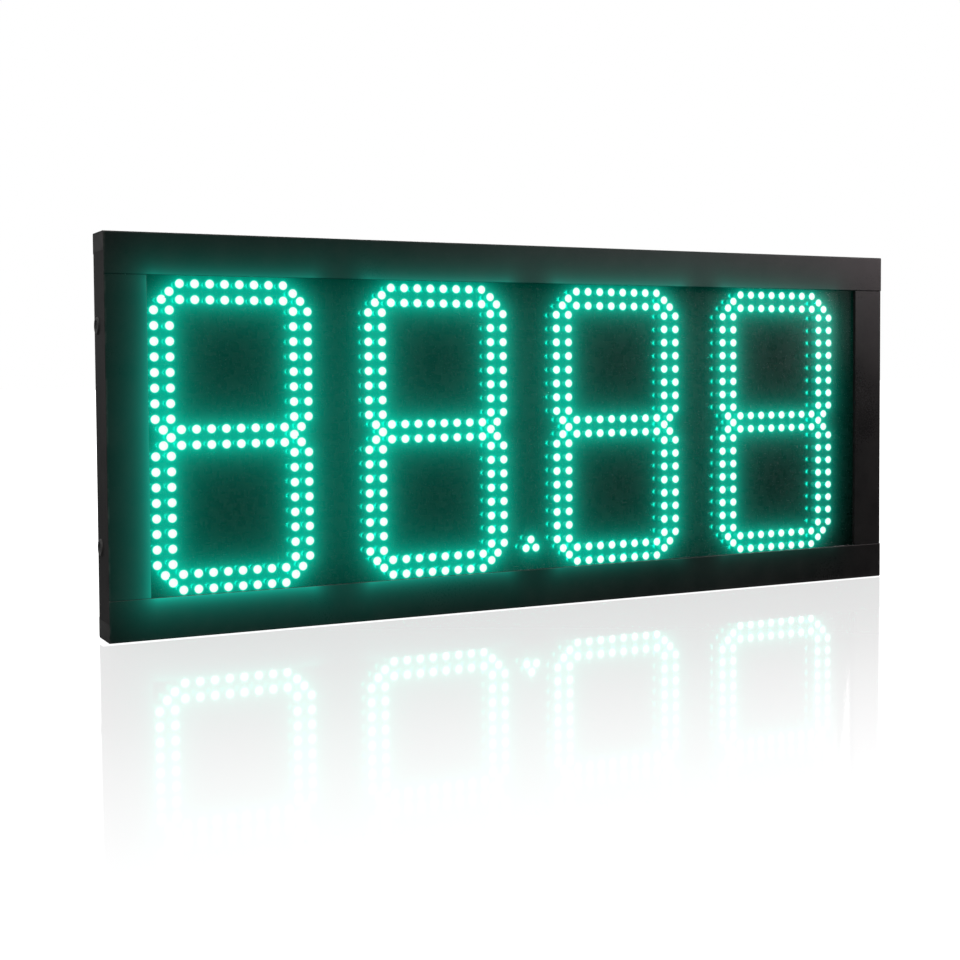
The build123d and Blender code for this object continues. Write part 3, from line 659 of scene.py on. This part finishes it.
plasticTone = {
    "drift": 40.0,
    "spread": 0.25,
}
plastics = {
    "cap_plastic": {"color": (0.008, 0.008, 0.008), "roughness": 0.75, "shine": 0.25, "grain": 1500.0,
                    "relief": 0.00004, "dust": 0.1},
    "chip": {"color": (0.03, 0.03, 0.031), "roughness": 0.55, "shine": 0.5, "grain": 3000.0,
             "relief": 0.00003, "dust": 0.1},
    "header": {"color": (0.025, 0.025, 0.027), "roughness": 0.45, "shine": 0.5, "grain": 2000.0,
               "relief": 0.00003, "dust": 0.1},
    "terminal": {"color": (0.04, 0.04, 0.042), "roughness": 0.5, "shine": 0.5, "grain": 2000.0,
                 "relief": 0.00003, "dust": 0.1},
    "nylon": {"color": (0.02, 0.02, 0.021), "roughness": 0.38, "shine": 0.5, "grain": 1200.0,
              "relief": 0.00004, "dust": 0.12},
    "rubber": {"color": (0.014, 0.014, 0.014), "roughness": 0.75, "shine": 0.5, "grain": 1800.0,
               "relief": 0.00006, "dust": 0.25},
}


def brushedMetal(name, values):
    material, tree, shader, position = startMaterial(name, values["color"], values["roughness"], 1.0)
    lines = placeGroup(tree, brushGroup, Position=position, Stretch=values["stretch"], Color=(*values["color"], 1),
                       Roughness=values["roughness"])
    join(tree, lines.outputs["Color"], shader.inputs["Base Color"])
    join(tree, lines.outputs["Roughness"], shader.inputs["Roughness"])
    addBump(tree, shader, lines.outputs["Height"], values["relief"])
    return material


metals = {
    "zinc": {"color": (0.62, 0.62, 0.6), "roughness": 0.32, "stretch": (900, 900, 900), "relief": 0.00002},
    "black_screw": {"color": (0.03, 0.03, 0.03), "roughness": 0.35, "stretch": (1200, 1200, 1200), "relief": 0.00002},
    "aluminium": {"color": (0.72, 0.73, 0.74), "roughness": 0.35, "stretch": (6, 900, 900), "relief": 0.00002},
    "supply_case": {"color": (0.66, 0.67, 0.68), "roughness": 0.4, "stretch": (8, 700, 700), "relief": 0.00003},
    "brass": {"color": (0.75, 0.58, 0.3), "roughness": 0.25, "stretch": (900, 900, 900), "relief": 0.00002},
}

boardFinish = {
    "color": (0.003, 0.006, 0.0055),
    "traceColor": (0.005, 0.011, 0.009),
    "shine": 0.15,
    "roughness": 0.35,
    "traceScale": 150.0,
    "traceEdge": (0.52, 0.6),
    "grain": 2500.0,
    "drift": 20.0,
    "spread": 0.3,
    "relief": 0.00003,
    "coatRoughness": 0.05,
    "coatIor": 1.6,
}
cardFinish = dict(boardFinish, color=(0.012, 0.10, 0.035), traceColor=(0.02, 0.16, 0.06), traceScale=250.0,
                  shine=0.5)


def circuitBoard(name, values):
    # solder resist over copper: straight-sided cells of slightly raised, slightly paler tone
    material, tree, shader, position = startMaterial(name, values["color"], values["roughness"],
                                                     Coat_Weight=1.0, Coat_Roughness=values["coatRoughness"],
                                                     Coat_IOR=values["coatIor"], Specular_IOR_Level=values["shine"])
    cells = newNode(tree, "TexVoronoi", distance="CHEBYCHEV", feature="F2")
    cells.inputs["Scale"].default_value = values["traceScale"]
    join(tree, position, cells.inputs["Vector"])
    traces = mapRange(tree, cells.outputs["Distance"], *values["traceEdge"], smooth=True)
    color = blendColors(tree, traces, (*values["color"], 1), (*values["traceColor"], 1))
    grain = placeGroup(tree, grainGroup, Position=position, Color=color, Grain=values["grain"],
                       Drift=values["drift"], Spread=values["spread"], Roughness=values["roughness"])
    join(tree, grain.outputs["Color"], shader.inputs["Base Color"])
    join(tree, grain.outputs["Roughness"], shader.inputs["Roughness"])
    addBump(tree, shader, traces, values["relief"])
    return material


lampFinish = {
    "color": (0.006, 0.05, 0.035),
    "roughness": 0.25,
    "shine": 0.2,
    "tint": (0.02, 1.0, 0.66),
    "power": 12.0,
    "sideShare": 0.012,
    "facing": (-0.62, -0.92),
    "domeStart": (1 / 3, 1 / 2),
    "flickerScale": 90.0,
    "flicker": (0.9, 1.1),
}


def litLamp(name):
    # tinted resin that shines forward from its dome, and only faintly from its sides
    material, tree, shader, position = startMaterial(name, lampFinish["color"], lampFinish["roughness"],
                                                     Specular_IOR_Level=lampFinish["shine"])
    parts = newNode(tree, "SeparateXYZ")
    join(tree, newNode(tree, "NewGeometry").outputs["Normal"], parts.inputs[0])
    facing = mapRange(tree, parts.outputs["Y"], *lampFinish["facing"], smooth=True)
    place = newNode(tree, "SeparateXYZ")
    join(tree, position, place.inputs[0])
    domeStart = [boardFace - lampHeight * share for share in lampFinish["domeStart"]]
    dome = mapRange(tree, place.outputs["Y"], *domeStart)
    along = mapRange(tree, doMath(tree, "MULTIPLY", facing, dome), 0.0, 1.0, lampFinish["sideShare"], 1.0)
    patches = noiseAt(tree, position, lampFinish["flickerScale"], 1.0)
    flicker = mapRange(tree, patches, 0.3, 0.7, *lampFinish["flicker"])
    level = doMath(tree, "MULTIPLY", along, flicker)
    color = newNode(tree, "VectorMath", operation="SCALE")
    color.inputs[0].default_value = lampFinish["tint"]
    join(tree, level, color.inputs["Scale"])
    join(tree, color.outputs[0], shader.inputs["Emission Color"])
    shader.inputs["Emission Strength"].default_value = lampFinish["power"]
    material.cycles.emission_sampling = "NONE"
    return material


# the glow's tint and the level where it turns white belong to the glow painted on the sheet's back
sheetFinish = {
    "roughness": 0.015,
    "ior": 1.49,
    "paintedGlowTint": (0.002, 1.0, 0.67),
    "whiteRange": (0.75, 1.6),
    "smearScale": 14.0,
    "smearRoughness": (0.005, 0.03),
}


def clearPlastic(name):
    # clear sheet: smooth glass that light passes straight through, faint smears, and on its back the
    # lamps' painted glow: a white spot and a halo where it is looked through, and a small bright spot that only its
    # gloss shows, a painted reflection of the lamps
    material, tree, shader, position = startMaterial(name, (1, 1, 1), sheetFinish["roughness"],
                                                     Transmission_Weight=1.0, IOR=sheetFinish["ior"])
    smears = noiseAt(tree, position, sheetFinish["smearScale"], 5.0, 0.6)
    join(tree, mapRange(tree, smears, 0.3, 0.8, *sheetFinish["smearRoughness"]), shader.inputs["Roughness"])
    halo = newNode(tree, "Attribute", attribute_name="paintedGlow").outputs["Fac"]
    lamp = newNode(tree, "Attribute", attribute_name="lampPlace").outputs["Vector"]
    reach = newNode(tree, "VectorMath", operation="DISTANCE")
    join(tree, position, reach.inputs[0])
    join(tree, lamp, reach.inputs[1])
    bells = []
    for reachName, strengthName in (("coreReach", "coreStrength"), ("spotReach", "spotStrength")):
        share = doMath(tree, "DIVIDE", reach.outputs["Value"], paintedSheetGlow[reachName])
        bell = doMath(tree, "EXPONENT", doMath(tree, "MULTIPLY", doMath(tree, "MULTIPLY", share, share), -1.0))
        bells.append(doMath(tree, "MULTIPLY", bell, paintedSheetGlow[strengthName]))
    level = doMath(tree, "ADD", halo, bells[0])
    tinted = newNode(tree, "VectorMath", operation="SCALE")
    tinted.inputs[0].default_value = sheetFinish["paintedGlowTint"]
    join(tree, doMath(tree, "MINIMUM", level, 1.0), tinted.inputs["Scale"])
    whiteness = mapRange(tree, level, *sheetFinish["whiteRange"], smooth=True)
    seen = blendColors(tree, whiteness, tinted.outputs[0], (1, 1, 1, 1))
    paintedSpot = newNode(tree, "VectorMath", operation="SCALE")
    paintedSpot.inputs[0].default_value = sheetFinish["paintedGlowTint"]
    join(tree, bells[1], paintedSpot.inputs["Scale"])
    # painted reflection: in reflections the sheet shows only the small painted spot; looked at directly, it shows the
    # painted halo and white core
    path = newNode(tree, "LightPath")
    mirrored = doMath(tree, "SUBTRACT", path.outputs["Is Glossy Ray"], path.outputs["Is Transmission Ray"],
                      clamp=True)
    color = blendColors(tree, mirrored, seen, paintedSpot.outputs[0])
    join(tree, color, shader.inputs["Emission Color"])
    shader.inputs["Emission Strength"].default_value = 1.0
    through = newNode(tree, "BsdfTransparent")
    mix = newNode(tree, "MixShader")
    join(tree, doMath(tree, "MAXIMUM", path.outputs["Is Shadow Ray"], path.outputs["Is Diffuse Ray"]), mix.inputs[0])
    join(tree, shader.outputs[0], mix.inputs[1])
    join(tree, through.outputs[0], mix.inputs[2])
    join(tree, mix.outputs[0], tree.nodes["Material Output"].inputs["Surface"])
    material.cycles.emission_sampling = "NONE"
    return material


finishes = {
    "frame_paint": paintedMetal("frame_paint_finish", framePaint),
    "cover_paint": paintedMetal("cover_paint_finish", coverPaint),
    "board": circuitBoard("board_finish", boardFinish),
    "card_green": circuitBoard("card_finish", cardFinish),
    "lamp_green": litLamp("lit_lamp_finish"),
    "clear_sheet": clearPlastic("clear_sheet_finish"),
}
for slotName, values in plastics.items():
    finishes[slotName] = mouldedPlastic(slotName + "_finish", values)
for slotName, values in metals.items():
    finishes[slotName] = brushedMetal(slotName + "_finish", values)

for part in frame["record"]["subparts"]:
    for materialSlot in nodes[part["node"]].material_slots:
        materialSlot.material = finishes[part["material_slot"]]
for piece, node in lampPieces:
    piece.data.materials.append(finishes["lamp_green"])
clearSheet.data.materials.append(finishes["clear_sheet"])
print("materials set:", len(finishes))


# Floor, light and camera

studio = {
    "floorSize": 40.0,
    "floorColor": (0.22, 0.22, 0.22),
    "floorRoughness": 0.04,
    # painted shade on the floor: its glow level near the sign and far away, and how far the change reaches
    "paintedFloorShade": (0.655, 0.9),
    "paintedFloorShadeReach": (0.12, 1.15),
    # painted light: width and softness of a white band painted along the sign's foot
    "paintedFootLine": 9 * mm,
    "footEdge": 0.1,
    "worldLight": 0.8,
    "cardBack": -1.6,
    "cardSide": (-2.4, 2.4),
    "cardTop": 1.1,
    "cardGap": 10 * mm,
    "cardLift": 1 * mm,
    # a grey patch high on the upright card's right, for the pale gloss at the sheet's right end
    "patchLevel": 0.12,
    "patchPlaces": (1.6, 1.75),
    "patchHeights": (0.2, 0.36),
}


def stagePlane(name, corners):
    mesh = bpy.data.meshes.new(name)
    mesh.from_pydata(corners, [], [list(range(len(corners)))])
    piece = bpy.data.objects.new(name, mesh)
    bpy.context.scene.collection.objects.link(piece)
    return piece


def makeFloor():
    half = studio["floorSize"] / 2
    floor = stagePlane("floor", [(-half, -half, 0), (half, -half, 0), (half, half, 0), (-half, half, 0)])
    material, tree, shader, position = startMaterial("floor_finish", studio["floorColor"], studio["floorRoughness"])
    parts = newNode(tree, "SeparateXYZ")
    join(tree, position, parts.inputs[0])
    # how far a place is in front of the sign or behind it, and past its ends
    away, past = [doMath(tree, "SUBTRACT", doMath(tree, "ABSOLUTE", doMath(tree, "SUBTRACT", parts.outputs[axis],
                                                                         frameMiddle[axis])), frameHalf[axis])
                  for axis in (1, 0)]
    # painted shade: the floor's glow is darker near the sign's line, in front of it and behind it, and brighter
    # further away
    lift = mapRange(tree, away, *studio["paintedFloorShadeReach"], *studio["paintedFloorShade"], smooth=True)
    # painted light: a band of full white painted along the sign's foot
    soft = studio["paintedFootLine"] * studio["footEdge"]
    paintedFootLight = mapRange(tree, doMath(tree, "MAXIMUM", away, past), studio["paintedFootLine"] - soft, studio["paintedFootLine"] + soft,
                    1.0, 0.0)
    level = doMath(tree, "MAXIMUM", lift, paintedFootLight)
    seen = newNode(tree, "LightPath").outputs["Is Camera Ray"]
    color = newNode(tree, "VectorMath", operation="SCALE")
    color.inputs[0].default_value = (1, 1, 1)
    join(tree, doMath(tree, "MULTIPLY", level, seen), color.inputs["Scale"])
    join(tree, color.outputs[0], shader.inputs["Emission Color"])
    shader.inputs["Emission Strength"].default_value = 1.0
    floor.data.materials.append(material)


def makeCards():
    # black cards that only gloss and glass see, from their front: they keep the sheet's reflection dark
    material = bpy.data.materials.new("card_finish_black")
    material.use_nodes = True
    tree = material.node_tree
    shader = tree.nodes["Principled BSDF"]
    shader.inputs["Base Color"].default_value = (0, 0, 0, 1)
    shader.inputs["Specular IOR Level"].default_value = 0.0
    place = newNode(tree, "SeparateXYZ")
    join(tree, newNode(tree, "TexCoord").outputs["Object"], place.inputs[0])
    sideways = mapRange(tree, place.outputs["X"], *studio["patchPlaces"], smooth=True)
    upward = mapRange(tree, place.outputs["Z"], *studio["patchHeights"], smooth=True)
    patch = newNode(tree, "VectorMath", operation="SCALE")
    patch.inputs[0].default_value = [studio["patchLevel"]] * 3
    join(tree, doMath(tree, "MULTIPLY", sideways, upward), patch.inputs["Scale"])
    join(tree, patch.outputs[0], shader.inputs["Emission Color"])
    shader.inputs["Emission Strength"].default_value = 1.0
    mix = newNode(tree, "MixShader")
    join(tree, newNode(tree, "NewGeometry").outputs["Backfacing"], mix.inputs[0])
    join(tree, shader.outputs[0], mix.inputs[1])
    join(tree, newNode(tree, "BsdfTransparent").outputs[0], mix.inputs[2])
    join(tree, mix.outputs[0], tree.nodes["Material Output"].inputs["Surface"])
    left, right = studio["cardSide"]
    back = studio["cardBack"]
    near = frameLow.y - studio["cardGap"]
    lift = studio["cardLift"]
    cards = [
        stagePlane("floor_card", [(left, back, lift), (right, back, lift), (right, near, lift), (left, near, lift)]),
        stagePlane("upright_card", [(right, back, lift), (left, back, lift), (left, back, studio["cardTop"]),
                                    (right, back, studio["cardTop"])]),
    ]
    for card in cards:
        card.data.materials.append(material)
        card.visible_camera = False
        card.visible_diffuse = False
        card.visible_shadow = False


def makeLight(name, place, size, power, color=(1, 1, 1), receivers=()):
    # an area light aimed at the frame's middle; with receivers, it lights those pieces alone
    data = bpy.data.lights.new(name, "AREA")
    data.shape = "RECTANGLE"
    data.size, data.size_y = size
    data.energy = power
    data.color = color
    light = bpy.data.objects.new(name, data)
    light.location = place
    light.rotation_euler = (frameMiddle - Vector(place)).to_track_quat("-Z", "Y").to_euler()
    light.visible_camera = False
    if receivers:
        lit = bpy.data.collections.new(name + "_receivers")
        for receiver in receivers:
            lit.objects.link(nodes[receiver])
        light.light_linking.receiver_collection = lit
    bpy.context.scene.collection.objects.link(light)


def makeWorld():
    # a plain grey for what it lights, and white where it is seen, in gloss and glass too
    world = bpy.data.worlds.new("studio_world")
    world.use_nodes = True
    bpy.context.scene.world = world
    tree = world.node_tree
    path = newNode(tree, "LightPath")
    seen = doMath(tree, "MAXIMUM", path.outputs["Is Camera Ray"], path.outputs["Is Glossy Ray"])
    seen = doMath(tree, "MAXIMUM", seen, path.outputs["Is Transmission Ray"])
    level = studio["worldLight"]
    color = blendColors(tree, seen, (level, level, level, 1), (1, 1, 1, 1))
    background = tree.nodes["Background"]
    join(tree, color, background.inputs["Color"])
    background.inputs["Strength"].default_value = 1.0


view = {
    "place": (-0.8105, -1.4573, 0.2618),
    "turn": (87.668, 0.374, -26.999),
    "focalPixels": 1498.0,
    "framePixels": 960.0,
    "axisRow": 430.0,
    "sensor": 36.0,
}


def makeCamera():
    data = bpy.data.cameras.new("camera")
    data.sensor_width = view["sensor"]
    data.lens = view["focalPixels"] / view["framePixels"] * view["sensor"]
    data.shift_y = (view["axisRow"] - view["framePixels"] / 2) / view["framePixels"]
    camera = bpy.data.objects.new("camera", data)
    turn = Euler([radians(a) for a in view["turn"]], "XYZ")
    camera.matrix_world = Matrix.Translation(view["place"]) @ turn.to_matrix().to_4x4()
    bpy.context.scene.collection.objects.link(camera)
    bpy.context.scene.camera = camera


lights = {
    "key_light": {"place": (-1.0, -1.7, 2.4), "size": (1.6, 1.2), "power": 22.0},
    "fill_light": {"place": (1.75, -1.0, 0.75), "size": (0.8, 0.6), "power": 9.0, "color": (1.0, 0.86, 0.89)},
    "rail_light": {"place": (1.1, -1.0, 0.66), "size": (1.2, 0.34), "power": 5.5, "color": (1.0, 0.88, 0.92),
                   "receivers": ("top_rail", "right_stile", "left_stile", "bottom_rail")},
    "rear_light": {"place": (0.4, 2.2, 2.0), "size": (1.8, 1.2), "power": 40.0},
}

makeFloor()
makeCards()
for name, values in lights.items():
    makeLight(name, **values)
makeWorld()
makeCamera()
bpy.context.scene.view_settings.view_transform = "Standard"
print("floor, light and camera set")
